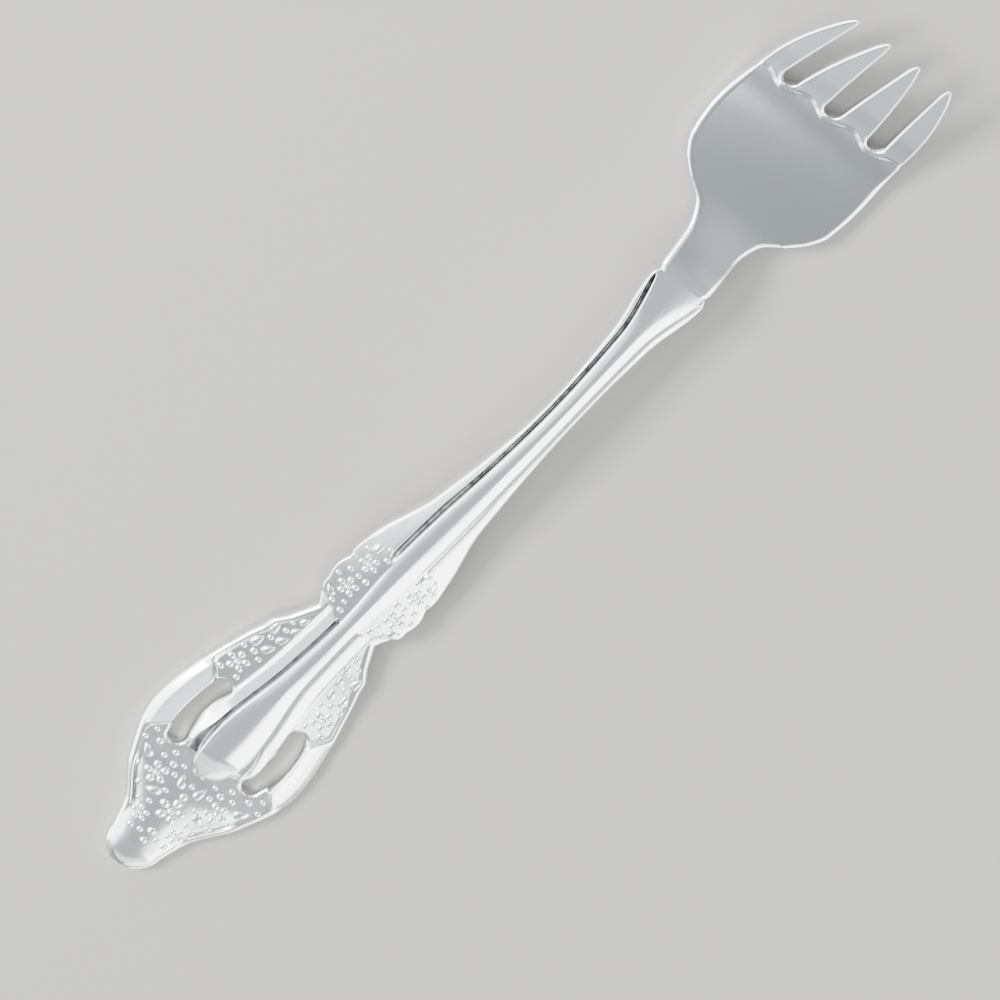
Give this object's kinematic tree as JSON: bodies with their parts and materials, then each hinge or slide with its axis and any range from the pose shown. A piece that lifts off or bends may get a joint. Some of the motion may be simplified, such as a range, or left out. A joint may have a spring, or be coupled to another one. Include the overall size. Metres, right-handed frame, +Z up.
{
  "type": "salad fork",
  "caption": "Salad fork with a dished palm, short tapered tines, a slender grooved stem and a pierced, coined handle end, lying face up on its palm and handle.",
  "frame": {"origin": "on the table, under the middle of the fork's length", "axes": "+X from the handle's nose to the tine tips, +Z up from the table, +Y across the fork"},
  "size_m": [0.156, 0.024, 0.0087],
  "materials": {
    "polished_steel": "bright polished stainless steel, coined relief",
    "satin_steel": "satin stainless steel with a polished rim"
  },
  "bodies": {
    "root": {"handle_end": "polished_steel", "knop": "polished_steel", "stem": "polished_steel", "neck": "satin_steel", "palm": "satin_steel", "tine_1": "satin_steel", "tine_2": "satin_steel", "tine_3": "satin_steel", "tine_4": "satin_steel"}
  },
  "joints": []
}
